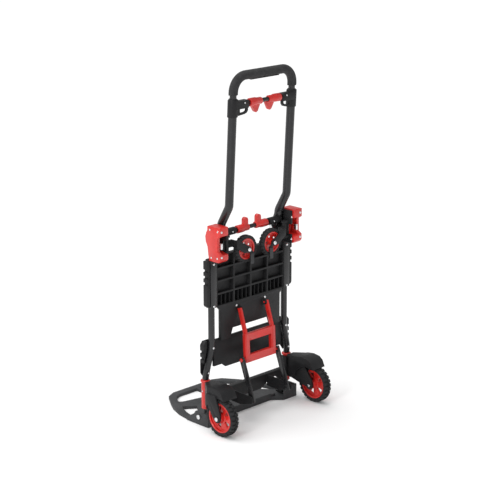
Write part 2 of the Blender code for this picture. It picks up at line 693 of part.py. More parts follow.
# ---- casters ----
def make_caster(name, side, arm_paint, tyre_paint, rim_paint):
    """A small wheel that rests flat against the deck and swings out about an upright pin."""
    pin = (CASTER_PIN_X * side, CASTER_PIN_Y, 615.0)
    barrel = turned([(7.5, 596.5), (7.5, 640.5)], (CASTER_PIN_X * side, CASTER_PIN_Y, 0.0), (0, 0, 1), 16)
    item = finish(barrel, f"caster_arm_{name}", arm_paint, pin)
    near = CASTER_X + CASTER_R + 3.0
    arm = [(near + 5.0, 606.0), (near + 5.0, 630.0), (near - 4.0, 630.0), (CASTER_X, CASTER_Z + 11.0)]
    arm += list(arc((CASTER_X, CASTER_Z), 11.0, 100.0, 260.0, 6)) + [(CASTER_X + 20.0, CASTER_Z - 9.0)]
    pedal = [
        (CASTER_X + 2.0, CASTER_Z - 4.0), (CASTER_X - 8.0, CASTER_Z + 2.0), (CASTER_X - 22.0, CASTER_Z - 13.0),
        (CASTER_X - 22.0, CASTER_Z - 52.0), (CASTER_X - 6.0, CASTER_Z - 52.0), (CASTER_X - 6.0, CASTER_Z - 14.0),
    ]
    pieces = [
        prism(arm, "Y", CASTER_BACK - 8.0, CASTER_BACK - 4.0, side),
        prism(pedal, "Y", CASTER_BACK - 8.0, CASTER_BACK - 4.0, side),
        box((near, CASTER_BACK - 8.0, 606.0), (near + 5.0, CASTER_PIN_Y + 4.0, 630.0), side),
        box((near + 1.0, CASTER_PIN_Y - 4.0, 606.0), (CASTER_PIN_X - 5.0, CASTER_PIN_Y + 4.0, 630.0), side),
    ]
    axle = [(7.0, CASTER_BACK - 11.0), (7.0, CASTER_BACK - 7.5), (4.0, CASTER_BACK - 7.5), (4.0, CASTER_FACE)]
    pieces.append(turned(axle, (CASTER_X * side, 0.0, CASTER_Z), (0, 1, 0), 12))
    combine(item, pieces, 'UNION')
    bore = turned([(3.4, 590.0), (3.4, 650.0)], (CASTER_PIN_X * side, CASTER_PIN_Y, 0.0), (0, 0, 1), 12)
    combine(item, [bore], 'DIFFERENCE')
    middle = (CASTER_BACK + CASTER_FACE) / 2
    centre = (CASTER_X * side, middle, CASTER_Z)
    half = (CASTER_FACE - CASTER_BACK) / 2
    rim_r = CASTER_R - 11.0
    tread = [
        (rim_r + GAP, 1.0 - half), (CASTER_R - 4.0, -half), (CASTER_R, 4.0 - half), (CASTER_R, half - 4.0),
        (CASTER_R - 4.0, half), (rim_r + GAP, half - 1.0),
    ]
    finish(turned(tread, centre, (0, 1, 0), 24, True), f"caster_tyre_{name}", tyre_paint, centre)
    rim = [
        (4.35, -half), (10.0, -half), (12.0, -3.0), (28.0, -2.0), (32.0, 2.0 - half), (rim_r, 2.0 - half),
        (rim_r, half - 2.0), (32.0, half - 2.0), (28.0, 2.0), (12.0, 3.0), (10.0, half), (4.35, half),
    ]
    finish(turned(rim, centre, (0, 1, 0), 24, True), f"caster_rim_{name}", rim_paint, centre)


def build():
    clear_scene()
    black_paint = make_material("black_paint", (0.012, 0.012, 0.013), 0.3)
    black_plastic = make_material("black_plastic", (0.02, 0.02, 0.021), 0.55)
    grey_plastic = make_material("grey_plastic", (0.05, 0.05, 0.052), 0.6)
    red_plastic = make_material("red_plastic", (0.75, 0.03, 0.025), 0.38)
    rubber = make_material("rubber", (0.018, 0.018, 0.019), 0.85)
    foam = make_material("foam", (0.025, 0.025, 0.026), 0.9)
    zinc = make_material("zinc", (0.7, 0.71, 0.72), 0.3, 1.0)

    make_cross_member(black_plastic)
    make_lower_deck(black_plastic)
    make_toe_plate(grey_plastic)
    make_upper_deck(black_plastic)
    make_release_frame(red_plastic)
    make_grip(black_paint, foam)
    pivot = (0.0, PIVOT_Y, PIVOT_Z)
    make_rod("lower_cross_rod", LOWER_ROD_Y, LOWER_ROD_Z, TUBE_X - TUBE_R - 2.0, black_paint, pivot)
    make_rod("upper_cross_rod", UPPER_ROD_Y, UPPER_ROD_Z, 107.0, black_paint, pivot)
    for name, side in SIDES:
        make_lower_rail(name, side, black_paint)
        make_post(name, side, red_plastic)
        make_fork(name, side, black_plastic)
        make_axle(name, side, zinc)
        make_toe_bolt(name, side, zinc)
        make_lower_wing(name, side, black_plastic)
        make_wheel(name, side, rubber, red_plastic)
        make_channel(name, side, black_paint)
        make_upper_wing(name, side, black_plastic)
        make_housing(name, side, red_plastic)
        make_hinge_plate(name, side, black_plastic)
        make_latch(name, side, zinc)
        make_handle_pivot(name, side, zinc)
        make_strap(name, side, black_paint)
        make_handle_tube(name, side, black_paint)
        make_lower_sleeve(name, side, black_plastic)
        make_upper_bracket(name, side, black_plastic)
        make_tab(f"lower_tab_{name}", side, LOWER_ROD_Y, LOWER_ROD_Z, 26.0, red_plastic)
        make_tab(f"upper_tab_{name}", side, UPPER_ROD_Y, UPPER_ROD_Z, -38.0, red_plastic)
        make_lock_pin(f"lower_lock_pin_{name}", side, LOWER_ROD_Y, LOWER_ROD_Z, TUBE_X - TUBE_R - 1.0, zinc)
        make_lock_pin(f"upper_lock_pin_{name}", side, UPPER_ROD_Y, UPPER_ROD_Z, 107.5, zinc)
        make_caster(name, side, black_plastic, rubber, red_plastic)


build()
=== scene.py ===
"""Finish of a convertible hand truck: smooth tubes, moulded panels, treaded tyres, spoked rims and rivets.

Laid out as an add-on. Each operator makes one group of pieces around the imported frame, in metres, +Z up.
"""

import json
import math

import bmesh
import bpy
from bpy.props import FloatProperty, FloatVectorProperty, IntProperty, PointerProperty
from mathutils import Euler, Matrix, Vector

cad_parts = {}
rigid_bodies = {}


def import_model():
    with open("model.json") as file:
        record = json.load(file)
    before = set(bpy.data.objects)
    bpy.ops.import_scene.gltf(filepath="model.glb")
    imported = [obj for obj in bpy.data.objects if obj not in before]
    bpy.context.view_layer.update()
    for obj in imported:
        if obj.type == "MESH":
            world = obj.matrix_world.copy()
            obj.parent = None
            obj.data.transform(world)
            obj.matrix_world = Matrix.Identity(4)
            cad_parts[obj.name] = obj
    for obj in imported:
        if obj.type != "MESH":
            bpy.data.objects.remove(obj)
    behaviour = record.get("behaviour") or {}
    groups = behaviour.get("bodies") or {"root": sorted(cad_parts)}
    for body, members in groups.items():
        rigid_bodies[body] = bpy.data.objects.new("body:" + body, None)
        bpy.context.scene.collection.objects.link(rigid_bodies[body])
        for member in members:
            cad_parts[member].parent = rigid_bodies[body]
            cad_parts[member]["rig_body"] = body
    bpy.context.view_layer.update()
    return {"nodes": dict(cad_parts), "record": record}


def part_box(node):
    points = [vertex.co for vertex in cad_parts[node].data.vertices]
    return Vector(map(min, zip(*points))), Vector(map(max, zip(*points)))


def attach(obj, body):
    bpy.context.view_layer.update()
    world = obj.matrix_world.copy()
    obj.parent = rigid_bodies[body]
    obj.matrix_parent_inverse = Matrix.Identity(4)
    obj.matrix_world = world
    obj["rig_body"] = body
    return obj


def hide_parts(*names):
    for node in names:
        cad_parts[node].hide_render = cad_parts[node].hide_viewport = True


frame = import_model()

bl_info = {
    "name": "Hand truck finish",
    "version": (1, 0, 0),
    "blender": (4, 5, 0),
    "location": "3D View > Sidebar > Hand truck",
    "description": "Builds the finished surfaces of a convertible hand truck around its frame",
    "category": "Object",
}

SIDES = (("left", -1.0), ("right", 1.0))
NEAR = 1e-6


def middle(node):
    low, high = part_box(node)
    return (Vector(low) + Vector(high)) / 2


AXLE = middle("tyre_right")
TYRE_R = (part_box("tyre_right")[1][2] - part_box("tyre_right")[0][2]) / 2
TYRE_HALF = (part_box("tyre_right")[1][0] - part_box("tyre_right")[0][0]) / 2
CASTER = middle("caster_tyre_right")
CASTER_R = (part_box("caster_tyre_right")[1][2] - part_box("caster_tyre_right")[0][2]) / 2
CASTER_RIM_R = CASTER_R - 0.011
CASTER_HALF = (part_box("caster_tyre_right")[1][1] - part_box("caster_tyre_right")[0][1]) / 2


RIM_R = 0.050
TOE_REACH = 0.376                       # from the line that millimetre points are counted from
LINE_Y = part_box("toe_plate")[1][1] - TOE_REACH


# ---- sizes and colours a user would change ----
class TruckColours(bpy.types.PropertyGroup):
    """Colours of the truck's finishes"""
    black: FloatVectorProperty(
        name="Black paint", description="Powder coat on the tubes", subtype='COLOR', size=3,
        default=(0.010, 0.010, 0.011), min=0.0, max=1.0)
    moulded: FloatVectorProperty(
        name="Moulded black", description="Plastic of the deck, forks and brackets", subtype='COLOR', size=3,
        default=(0.014, 0.014, 0.015), min=0.0, max=1.0)
    plate: FloatVectorProperty(
        name="Plate grey", description="Textured toe plate", subtype='COLOR', size=3,
        default=(0.045, 0.046, 0.048), min=0.0, max=1.0)
    red: FloatVectorProperty(
        name="Red plastic", description="Hinge housings, tabs, posts and rims", subtype='COLOR', size=3,
        default=(0.62, 0.020, 0.015), min=0.0, max=1.0)
    rubber: FloatVectorProperty(
        name="Tyre rubber", description="Tyres", subtype='COLOR', size=3,
        default=(0.020, 0.020, 0.021), min=0.0, max=1.0)
    foam: FloatVectorProperty(
        name="Grip foam", description="Sleeve on the grip", subtype='COLOR', size=3,
        default=(0.030, 0.030, 0.031), min=0.0, max=1.0)
    zinc: FloatVectorProperty(
        name="Zinc", description="Rivets, bolts and latches", subtype='COLOR', size=3,
        default=(0.78, 0.79, 0.80), min=0.0, max=1.0)


class TruckSizes(bpy.types.PropertyGroup):
    """Sizes of the fine detail"""
    edge: FloatProperty(
        name="Edge radius", description="Rounding of moulded edges", default=0.0012, min=0.0002, max=0.004,
        unit='LENGTH')
    tread: FloatProperty(
        name="Tread depth", description="Height of the tyre's blocks", default=0.0042, min=0.001, max=0.008,
        unit='LENGTH')
    lugs: IntProperty(name="Tread blocks", description="Blocks round each tyre shoulder", default=26, min=8, max=60)
    spokes: IntProperty(name="Spokes", description="Spokes in each rim", default=5, min=3, max=9)
    rivet: FloatProperty(
        name="Rivet radius", description="Radius of a rivet's head", default=0.0042, min=0.001, max=0.01,
        unit='LENGTH')


class TruckStage(bpy.types.PropertyGroup):
    """Camera and light"""
    azimuth: FloatProperty(
        name="Azimuth", description="Direction the camera looks, from +Y", default=math.radians(-44.79),
        subtype='ANGLE')
    elevation: FloatProperty(
        name="Elevation", description="How steeply it looks down", default=math.radians(15.91), subtype='ANGLE')
    distance: FloatProperty(name="Distance", description="Camera to target", default=5.1479, unit='LENGTH')
    lens: FloatProperty(name="Lens", description="Focal length in millimetres", default=113.55)
    sideways: FloatProperty(
        name="Sideways", description="Target's offset across the view", default=-0.0622, unit='LENGTH')
    height: FloatProperty(name="Target height", description="Height of the target", default=0.5848, unit='LENGTH')
    lamp: FloatProperty(name="Side light", description="Power of the soft side light", default=60.0, unit='POWER')
    overhead: FloatProperty(name="Overhead light", description="Strength of the broad light from above", default=2.1)


# ---- materials ----
class Nodes:
    """A small helper that adds and links shader nodes."""

    def __init__(self, name):
        self.material = bpy.data.materials.new(name)
        self.material.use_nodes = True
        self.tree = self.material.node_tree
        self.shader = self.tree.nodes["Principled BSDF"]
        self.place = self.tree.nodes.new("ShaderNodeTexCoord").outputs["Object"]

    def add(self, kind, **values):
        node = self.tree.nodes.new(kind)
        for key, value in values.items():
            if key in node.inputs:
                node.inputs[key].default_value = value
            else:
                setattr(node, key, value)
        return node

    def link(self, source, target):
        self.tree.links.new(source, target)

    def noise(self, scale, detail=3.0, roughness=0.5):
        node = self.add("ShaderNodeTexNoise", Scale=scale, Detail=detail, Roughness=roughness)
        self.link(self.place, node.inputs["Vector"])
        return node.outputs["Fac"]

    def cells(self, scale, feature='F1'):
        node = self.add("ShaderNodeTexVoronoi", feature=feature, Scale=scale)
        self.link(self.place, node.inputs["Vector"])
        return node.outputs["Distance"]

    def between(self, factor, low, high, start=0.3, end=0.7):
        node = self.add("ShaderNodeMapRange")
        for socket, value in zip(("From Min", "From Max", "To Min", "To Max"), (start, end, low, high)):
            node.inputs[socket].default_value = value
        self.link(factor, node.inputs["Value"])
        return node.outputs["Result"]

    def tones(self, factor, dark, light):
        ramp = self.add("ShaderNodeValToRGB")
        ramp.color_ramp.elements[0].position = 0.3
        ramp.color_ramp.elements[1].position = 0.72
        ramp.color_ramp.elements[0].color = (*dark, 1.0)
        ramp.color_ramp.elements[1].color = (*light, 1.0)
        self.link(factor, ramp.inputs["Fac"])
        return ramp.outputs["Color"]

    def bump(self, height, strength, depth, under=None):
        node = self.add("ShaderNodeBump", Strength=strength, Distance=depth)
        self.link(height, node.inputs["Height"])
        if under:
            self.link(under, node.inputs["Normal"])
        return node.outputs["Normal"]


def shade(colour, factor):
    return tuple(min(channel * factor, 1.0) for channel in colour)


def powder_coat(colour):
    """Gloss black paint with a fine orange peel and faint rub marks along the tubes."""
    nodes = Nodes("gloss_powder_coat")
    peel = nodes.noise(900.0, 2.0)
    wear = nodes.noise(24.0, 6.0, 0.65)
    nodes.link(nodes.tones(wear, shade(colour, 0.8), shade(colour, 1.7)), nodes.shader.inputs["Base Color"])
    nodes.link(nodes.between(wear, 0.20, 0.34), nodes.shader.inputs["Roughness"])
    nodes.link(nodes.bump(peel, 0.10, 0.0004), nodes.shader.inputs["Normal"])
    nodes.shader.inputs["Specular IOR Level"].default_value = 0.35
    nodes.shader.inputs["Coat Weight"].default_value = 0.20
    nodes.shader.inputs["Coat Roughness"].default_value = 0.12
    return nodes.material


def moulded_plastic(name, colour, grain, rough_low, rough_high, depth):
    """Injection moulded plastic: spark-eroded grain, slow flow marks and a scuffed sheen."""
    nodes = Nodes(name)
    texture = nodes.cells(grain)
    flow = nodes.noise(14.0, 4.0)
    scuff = nodes.noise(130.0, 5.0, 0.7)
    nodes.link(nodes.tones(flow, shade(colour, 0.82), shade(colour, 1.3)), nodes.shader.inputs["Base Color"])
    nodes.link(nodes.between(scuff, rough_low, rough_high), nodes.shader.inputs["Roughness"])
    first = nodes.bump(texture, 0.25, depth)
    nodes.link(nodes.bump(flow, 0.08, 0.002, first), nodes.shader.inputs["Normal"])
    nodes.shader.inputs["Specular IOR Level"].default_value = 0.22
    return nodes.material


def red_plastic(colour):
    """Glossy red plastic with faint mottling and fine handling scratches."""
    nodes = Nodes("glossy_red_plastic")
    mottle = nodes.noise(30.0, 3.0)
    scratch = nodes.noise(420.0, 2.0, 0.8)
    nodes.link(nodes.tones(mottle, shade(colour, 0.88), shade(colour, 1.08)), nodes.shader.inputs["Base Color"])
    nodes.link(nodes.between(scratch, 0.26, 0.42), nodes.shader.inputs["Roughness"])
    nodes.link(nodes.bump(scratch, 0.08, 0.0003), nodes.shader.inputs["Normal"])
    nodes.shader.inputs["Coat Weight"].default_value = 0.25
    nodes.shader.inputs["Coat Roughness"].default_value = 0.2
    return nodes.material


def tyre_rubber(colour):
    """Matt rubber with a dusty bloom and a fine pebble."""
    nodes = Nodes("tyre_rubber")
    dust = nodes.noise(45.0, 6.0, 0.7)
    pebble = nodes.cells(1400.0)
    nodes.link(nodes.tones(dust, shade(colour, 0.8), shade(colour, 1.9)), nodes.shader.inputs["Base Color"])
    nodes.link(nodes.between(dust, 0.72, 0.92), nodes.shader.inputs["Roughness"])
    nodes.link(nodes.bump(pebble, 0.3, 0.0004), nodes.shader.inputs["Normal"])
    nodes.shader.inputs["Specular IOR Level"].default_value = 0.2
    return nodes.material


def closed_foam(colour):
    """Dense closed-cell foam: open pores and a soft sheen."""
    nodes = Nodes("grip_foam")
    pores = nodes.cells(900.0)
    patch = nodes.noise(60.0, 5.0, 0.6)
    nodes.link(nodes.tones(patch, shade(colour, 0.75), shade(colour, 1.5)), nodes.shader.inputs["Base Color"])
    nodes.link(nodes.between(patch, 0.75, 0.95), nodes.shader.inputs["Roughness"])
    first = nodes.bump(pores, 0.5, 0.0006)
    nodes.link(nodes.bump(patch, 0.2, 0.001, first), nodes.shader.inputs["Normal"])
    nodes.shader.inputs["Sheen Weight"].default_value = 0.08
    nodes.shader.inputs["Specular IOR Level"].default_value = 0.2
    return nodes.material


def zinc_plate(colour):
    """Bright zinc with turning marks and dull patches."""
    nodes = Nodes("zinc_plate")
    dull = nodes.noise(220.0, 4.0, 0.6)
    nodes.link(nodes.tones(dull, shade(colour, 0.8), shade(colour, 1.1)), nodes.shader.inputs["Base Color"])
    nodes.link(nodes.between(dull, 0.18, 0.4), nodes.shader.inputs["Roughness"])
    nodes.link(nodes.bump(dull, 0.15, 0.0002), nodes.shader.inputs["Normal"])
    nodes.shader.inputs["Metallic"].default_value = 1.0
    return nodes.material


FINISH = {}


def make_finishes(colours):
    FINISH["black_paint"] = powder_coat(colours.black)
    FINISH["black_plastic"] = moulded_plastic("moulded_black", colours.moulded, 1300.0, 0.38, 0.55, 0.0003)
    FINISH["grey_plastic"] = moulded_plastic("moulded_grey", colours.plate, 700.0, 0.5, 0.68, 0.0006)
    FINISH["red_plastic"] = red_plastic(colours.red)
    FINISH["rubber"] = tyre_rubber(colours.rubber)
    FINISH["foam"] = closed_foam(colours.foam)
    FINISH["zinc"] = zinc_plate(colours.zinc)


# ---- mesh helpers ----
def node_slot(node):
    for part in frame["record"]["subparts"]:
        if part["node"] == node:
            return part["material_slot"]
    raise ValueError(f"no slot for {node}")


def link_piece(name, mesh, body, finish, *replaced):
    """Put a finished mesh in the scene, on its body, with its finish."""
    mesh.materials.clear()
    mesh.materials.append(FINISH[finish])
    piece = bpy.data.objects.new(name, mesh)
    bpy.context.scene.collection.objects.link(piece)
    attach(piece, body)
    if replaced:
        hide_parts(*replaced)
    return piece


def mesh_of(shape, name, angle=35.0):
    """A bmesh as a smooth-shaded mesh with its normals outwards."""
    bmesh.ops.recalc_face_normals(shape, faces=shape.faces)
    mesh = bpy.data.meshes.new(name)
    shape.to_mesh(mesh)
    shape.free()
    mesh.shade_smooth()
    mesh.set_sharp_from_angle(angle=math.radians(angle))
    return mesh


def baked(holder, name):
    """The holder's evaluated mesh as a plain mesh. The holder is removed."""
    bpy.context.view_layer.update()
    graph = bpy.context.evaluated_depsgraph_get()
    mesh = bpy.data.meshes.new_from_object(holder.evaluated_get(graph))
    mesh.name = name
    bpy.data.objects.remove(holder, do_unlink=True)
    return mesh


def holder_of(mesh, name):
    holder = bpy.data.objects.new(name, mesh)
    bpy.context.scene.collection.objects.link(holder)
    return holder


def rounded(mesh, width, segments=2, angle=32.0):
    """A mesh with its sharp edges rounded."""
    holder = holder_of(mesh, "rounding")
    bevel = holder.modifiers.new("edges", 'BEVEL')
    bevel.width = width
    bevel.segments = segments
    bevel.limit_method = 'ANGLE'
    bevel.angle_limit = math.radians(angle)
    bevel.harden_normals = False
    result = baked(holder, mesh.name)
    result.shade_smooth()
    result.set_sharp_from_angle(angle=math.radians(48.0))
    return result


def from_frame(node, width=0.0012, segments=2):
    """A copy of a frame node, with its flat faces whole again and its edges rounded, that stands for it."""
    source = frame["nodes"][node]
    shape = bmesh.new()
    shape.from_mesh(source.data)
    bmesh.ops.remove_doubles(shape, verts=shape.verts, dist=NEAR)
    bmesh.ops.dissolve_limit(
        shape, angle_limit=math.radians(1.0), use_dissolve_boundaries=False, verts=shape.verts, edges=shape.edges)
    mesh = bpy.data.meshes.new(f"{node}_shell")
    shape.to_mesh(mesh)
    shape.free()
    mesh = rounded(mesh, width, segments)
    return link_piece(f"{node}_shell", mesh, source["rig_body"], node_slot(node), node)


def circle(centre, first, second, radius, sides):
    for index in range(sides):
        turn = 2 * math.pi * index / sides
        yield centre + first * (radius * math.cos(turn)) + second * (radius * math.sin(turn))


def bridge(shape, ring, after):
    count = len(ring)
    for index in range(count):
        step = (index + 1) % count
        shape.faces.new((ring[index], after[index], after[step], ring[step]))


def swept(name, points, radii, sides=32, bore=0.0):
    """A round bar along a path with a radius at each point, closed at its ends, or a tube when it has a bore."""
    shape = bmesh.new()
    points = [Vector(point) for point in points]
    along = (points[1] - points[0]).normalized()
    level = Vector((1, 0, 0)) if abs(along.x) < 0.9 else Vector((0, 1, 0))
    second = along.cross(level).normalized()
    first = second.cross(along).normalized()
    outer, inner = [], []
    last = len(points) - 1
    for index, point in enumerate(points):
        along = (points[min(index + 1, last)] - points[max(index - 1, 0)]).normalized()
        first = (first - along * first.dot(along)).normalized()
        second = along.cross(first).normalized()
        ring = circle(point, first, second, radii[index], sides)
        outer.append([shape.verts.new(co) for co in ring])
        if bore:
            inner.append([shape.verts.new(co) for co in circle(point, first, second, bore, sides)])
    for index in range(last):
        bridge(shape, outer[index], outer[index + 1])
        if bore:
            bridge(shape, inner[index + 1], inner[index])
    if bore:
        bridge(shape, inner[0], outer[0])
        bridge(shape, outer[-1], inner[-1])
    else:
        shape.faces.new(outer[0])
        shape.faces.new(list(reversed(outer[-1])))
    return mesh_of(shape, name, 50.0)


def turned(name, profile, centre, axis, sides=64, closed=True):
    """A closed profile of (radius, distance along the axis) turned about it."""
    shape = bmesh.new()
    along = Vector(axis)
    level = Vector((0, 0, 1)) if abs(along.z) < 0.9 else Vector((1, 0, 0))
    second = along.cross(level).normalized()
    first = second.cross(along).normalized()
    rings = []
    for radius, distance in profile:
        point = Vector(centre) + along * distance
        rings.append([shape.verts.new(co) for co in circle(point, first, second, radius, sides)])
    for ring, after in zip(rings, rings[1:]):
        bridge(shape, ring, after)
    if closed:
        bridge(shape, rings[-1], rings[0])
    else:
        shape.faces.new(rings[0])
        shape.faces.new(list(reversed(rings[-1])))
    return mesh_of(shape, name, 30.0)


def smooth_path(points, reach, steps=8):
    """Round each inner corner of a path with a quadratic curve that starts `reach` before it."""
    points = [Vector(point) for point in points]
    path = [points[0]]
    for before, corner, after in zip(points, points[1:], points[2:]):
        enter = corner + (before - corner).normalized() * reach
        leave = corner + (after - corner).normalized() * reach
        for index in range(steps + 1):
            t = index / steps
            path.append(enter * (1 - t) ** 2 + corner * (2 * t * (1 - t)) + leave * t ** 2)
    path.append(points[-1])
    return path


def joined(name, meshes):
    """Several meshes as one."""
    shape = bmesh.new()
    for mesh in meshes:
        shape.from_mesh(mesh)
        bpy.data.meshes.remove(mesh)
    result = bpy.data.meshes.new(name)
    shape.to_mesh(result)
    shape.free()
    return result


# ---- geometry node trees ----
def new_tree(name, sockets):
    """A node tree with named inputs and one geometry output."""
    tree = bpy.data.node_groups.new(name, 'GeometryNodeTree')
    tree.interface.new_socket("Geometry", in_out='INPUT', socket_type='NodeSocketGeometry')
    for title, kind in sockets:
        tree.interface.new_socket(title, in_out='INPUT', socket_type=kind)
    tree.interface.new_socket("Geometry", in_out='OUTPUT', socket_type='NodeSocketGeometry')
    return tree, tree.nodes.new("NodeGroupInput"), tree.nodes.new("NodeGroupOutput")


def finish_tree(tree, source, instances, output):
    """End a tree with real geometry and its material."""
    realise = tree.nodes.new("GeometryNodeRealizeInstances")
    paint = tree.nodes.new("GeometryNodeSetMaterial")
    tree.links.new(instances, realise.inputs["Geometry"])
    tree.links.new(realise.outputs["Geometry"], paint.inputs["Geometry"])
    tree.links.new(source.outputs["Material"], paint.inputs["Material"])
    tree.links.new(paint.outputs["Geometry"], output.inputs["Geometry"])
    return tree


def round_axle_tree():
    """Copies a unit round the X axis: tread blocks and spokes."""
    tree, source, output = new_tree("Round an axle", (
        ("Unit", 'NodeSocketObject'), ("Count", 'NodeSocketInt'), ("Start", 'NodeSocketFloat'),
        ("Material", 'NodeSocketMaterial')))
    points = tree.nodes.new("GeometryNodePoints")
    unit = tree.nodes.new("GeometryNodeObjectInfo")
    place = tree.nodes.new("GeometryNodeInstanceOnPoints")
    index = tree.nodes.new("GeometryNodeInputIndex")
    step = tree.nodes.new("ShaderNodeMath")
    step.operation = 'DIVIDE'
    step.inputs[0].default_value = 2 * math.pi
    turn = tree.nodes.new("ShaderNodeMath")
    turn.operation = 'MULTIPLY_ADD'
    about = tree.nodes.new("ShaderNodeCombineXYZ")
    tree.links.new(source.outputs["Count"], points.inputs["Count"])
    tree.links.new(source.outputs["Count"], step.inputs[1])
    tree.links.new(index.outputs["Index"], turn.inputs[0])
    tree.links.new(step.outputs[0], turn.inputs[1])
    tree.links.new(source.outputs["Start"], turn.inputs[2])
    tree.links.new(turn.outputs[0], about.inputs["X"])
    tree.links.new(source.outputs["Unit"], unit.inputs["Object"])
    tree.links.new(points.outputs["Points"], place.inputs["Points"])
    tree.links.new(unit.outputs["Geometry"], place.inputs["Instance"])
    tree.links.new(about.outputs["Vector"], place.inputs["Rotation"])
    return finish_tree(tree, source, place.outputs["Instances"], output)


def in_line_tree():
    """Copies a unit along a line by a constant step: ribs and ridges."""
    tree, source, output = new_tree("In a line", (
        ("Unit", 'NodeSocketObject'), ("Count", 'NodeSocketInt'), ("Step", 'NodeSocketVector'),
        ("Material", 'NodeSocketMaterial')))
    points = tree.nodes.new("GeometryNodePoints")
    unit = tree.nodes.new("GeometryNodeObjectInfo")
    place = tree.nodes.new("GeometryNodeInstanceOnPoints")
    index = tree.nodes.new("GeometryNodeInputIndex")
    spread = tree.nodes.new("ShaderNodeVectorMath")
    spread.operation = 'SCALE'
    tree.links.new(source.outputs["Count"], points.inputs["Count"])
    tree.links.new(source.outputs["Step"], spread.inputs[0])
    tree.links.new(index.outputs["Index"], spread.inputs["Scale"])
    tree.links.new(spread.outputs["Vector"], points.inputs["Position"])
    tree.links.new(source.outputs["Unit"], unit.inputs["Object"])
    tree.links.new(points.outputs["Points"], place.inputs["Points"])
    tree.links.new(unit.outputs["Geometry"], place.inputs["Instance"])
    return finish_tree(tree, source, place.outputs["Instances"], output)


def rivet_tree():
    """Puts a domed head on each point of a mesh, all facing one way."""
    tree, source, output = new_tree("Rivet heads", (
        ("Radius", 'NodeSocketFloat'), ("Turn", 'NodeSocketVector'), ("Material", 'NodeSocketMaterial')))
    head = tree.nodes.new("GeometryNodeMeshUVSphere")
    head.inputs["Segments"].default_value = 20
    head.inputs["Rings"].default_value = 10
    flat = tree.nodes.new("GeometryNodeTransform")
    flat.inputs["Scale"].default_value = (1.0, 1.0, 0.5)
    place = tree.nodes.new("GeometryNodeInstanceOnPoints")
    tree.links.new(source.outputs["Radius"], head.inputs["Radius"])
    tree.links.new(head.outputs["Mesh"], flat.inputs["Geometry"])
    tree.links.new(source.outputs["Geometry"], place.inputs["Points"])
    tree.links.new(flat.outputs["Geometry"], place.inputs["Instance"])
    tree.links.new(source.outputs["Turn"], place.inputs["Rotation"])
    return finish_tree(tree, source, place.outputs["Instances"], output)


TREES = {}


def grown(name, tree_name, base, finish, **values):
    """Run a node tree on a base mesh and return the result as a plain mesh."""
    holder = holder_of(base, f"{name}_holder")
    step = holder.modifiers.new(tree_name, 'NODES')
    step.node_group = TREES[tree_name]
    values["Material"] = FINISH[finish]
    for item in TREES[tree_name].interface.items_tree:
        if item.item_type == 'SOCKET' and item.in_out == 'INPUT' and item.name in values:
            step[item.identifier] = values[item.name]
    mesh = baked(holder, name)
    mesh.shade_smooth()
    mesh.set_sharp_from_angle(angle=math.radians(35.0))
    return mesh


def repeat(name, tree_name, unit_mesh, finish, **values):
    """Repeat a small mesh with a node tree."""
    unit = holder_of(unit_mesh, f"{name}_unit")
    mesh = grown(name, tree_name, bpy.data.meshes.new(f"{name}_base"), finish, Unit=unit, **values)
    bpy.data.objects.remove(unit, do_unlink=True)
    return mesh


def block(corners):
    """A six-sided block from its eight corners: four round the foot, then four round the top."""
    shape = bmesh.new()
    verts = [shape.verts.new(corner) for corner in corners]
    sides = [(0, 1, 2, 3), (7, 6, 5, 4), (0, 4, 5, 1), (1, 5, 6, 2), (2, 6, 7, 3), (3, 7, 4, 0)]
    for side in sides:
        shape.faces.new([verts[index] for index in side])
    return mesh_of(shape, "block")


def rib(low, high):
    x0, y0, z0 = low
    x1, y1, z1 = high
    foot = [(x0, y0, z0), (x1, y0, z0), (x1, y1, z0), (x0, y1, z0)]
    return block(foot + [(x, y, z1) for x, y, _ in foot])


def extruded(profile, low, high):
    """A block with the outline given in (X, Z), from one Y to another."""
    shape = bmesh.new()
    back = [shape.verts.new((x, low, z)) for x, z in profile]
    front = [shape.verts.new((x, high, z)) for x, z in profile]
    shape.faces.new(back)
    shape.faces.new(front[::-1])
    bridge(shape, back, front)
    return mesh_of(shape, "block")


def mm(x, y, z):
    """A point in metres from millimetres, with Y counted forward from a line near the main axle."""
    return Vector((x / 1000, LINE_Y + y / 1000, z / 1000))


def moved(mesh, matrix):
    mesh.transform(matrix)
    mesh.update()
    return mesh


# ---- tubes ----
RAIL_R = 0.011
HANDLE_R = 0.014
GRIP_R = 0.011
FOAM_R = 0.015
ROD_R = 0.007
WALL = 0.002
GRIP_TOP = 1167.5
GRIP_BEND = 50.0
HANDLE_X = 132.5
HANDLE_TOP = 1097.0
GRIP_LOW = 856.0
FOAM_LOW = 1108.0
RAIL_X = 170.4
POST_X = 192.4
POST_Y = 104.0
LOWER_ROD = (116.5, 82.0, 651.0)        # half length, Y and Z
UPPER_ROD = (107.0, 23.5, 1079.0)


def lean(z):
    """Y of the handle's straight run at a height, in millimetres."""
    return 49.7 - 0.0553 * (z - 744.6)


def grip_line(low, corner_steps=16, along_steps=24):
    """Up one leg, over the bar and down the other, as millimetre points."""
    half = HANDLE_X
    inner = half - GRIP_BEND
    points = [(-half, low + (GRIP_TOP - GRIP_BEND - low) * step / 6) for step in range(6)]
    for centre, start in ((-inner, 180.0), (inner, 90.0)):
        for step in range(corner_steps + 1):
            turn = math.radians(start - 90.0 * step / corner_steps)
            points.append((centre + GRIP_BEND * math.cos(turn), GRIP_TOP - GRIP_BEND + GRIP_BEND * math.sin(turn)))
        if centre < 0:
            points += [(-inner + 2 * inner * step / along_steps, GRIP_TOP) for step in range(1, along_steps)]
    points += [(half, low + (GRIP_TOP - GRIP_BEND - low) * step / 6) for step in range(5, -1, -1)]
    return [mm(x, lean(z), z) for x, z in points]


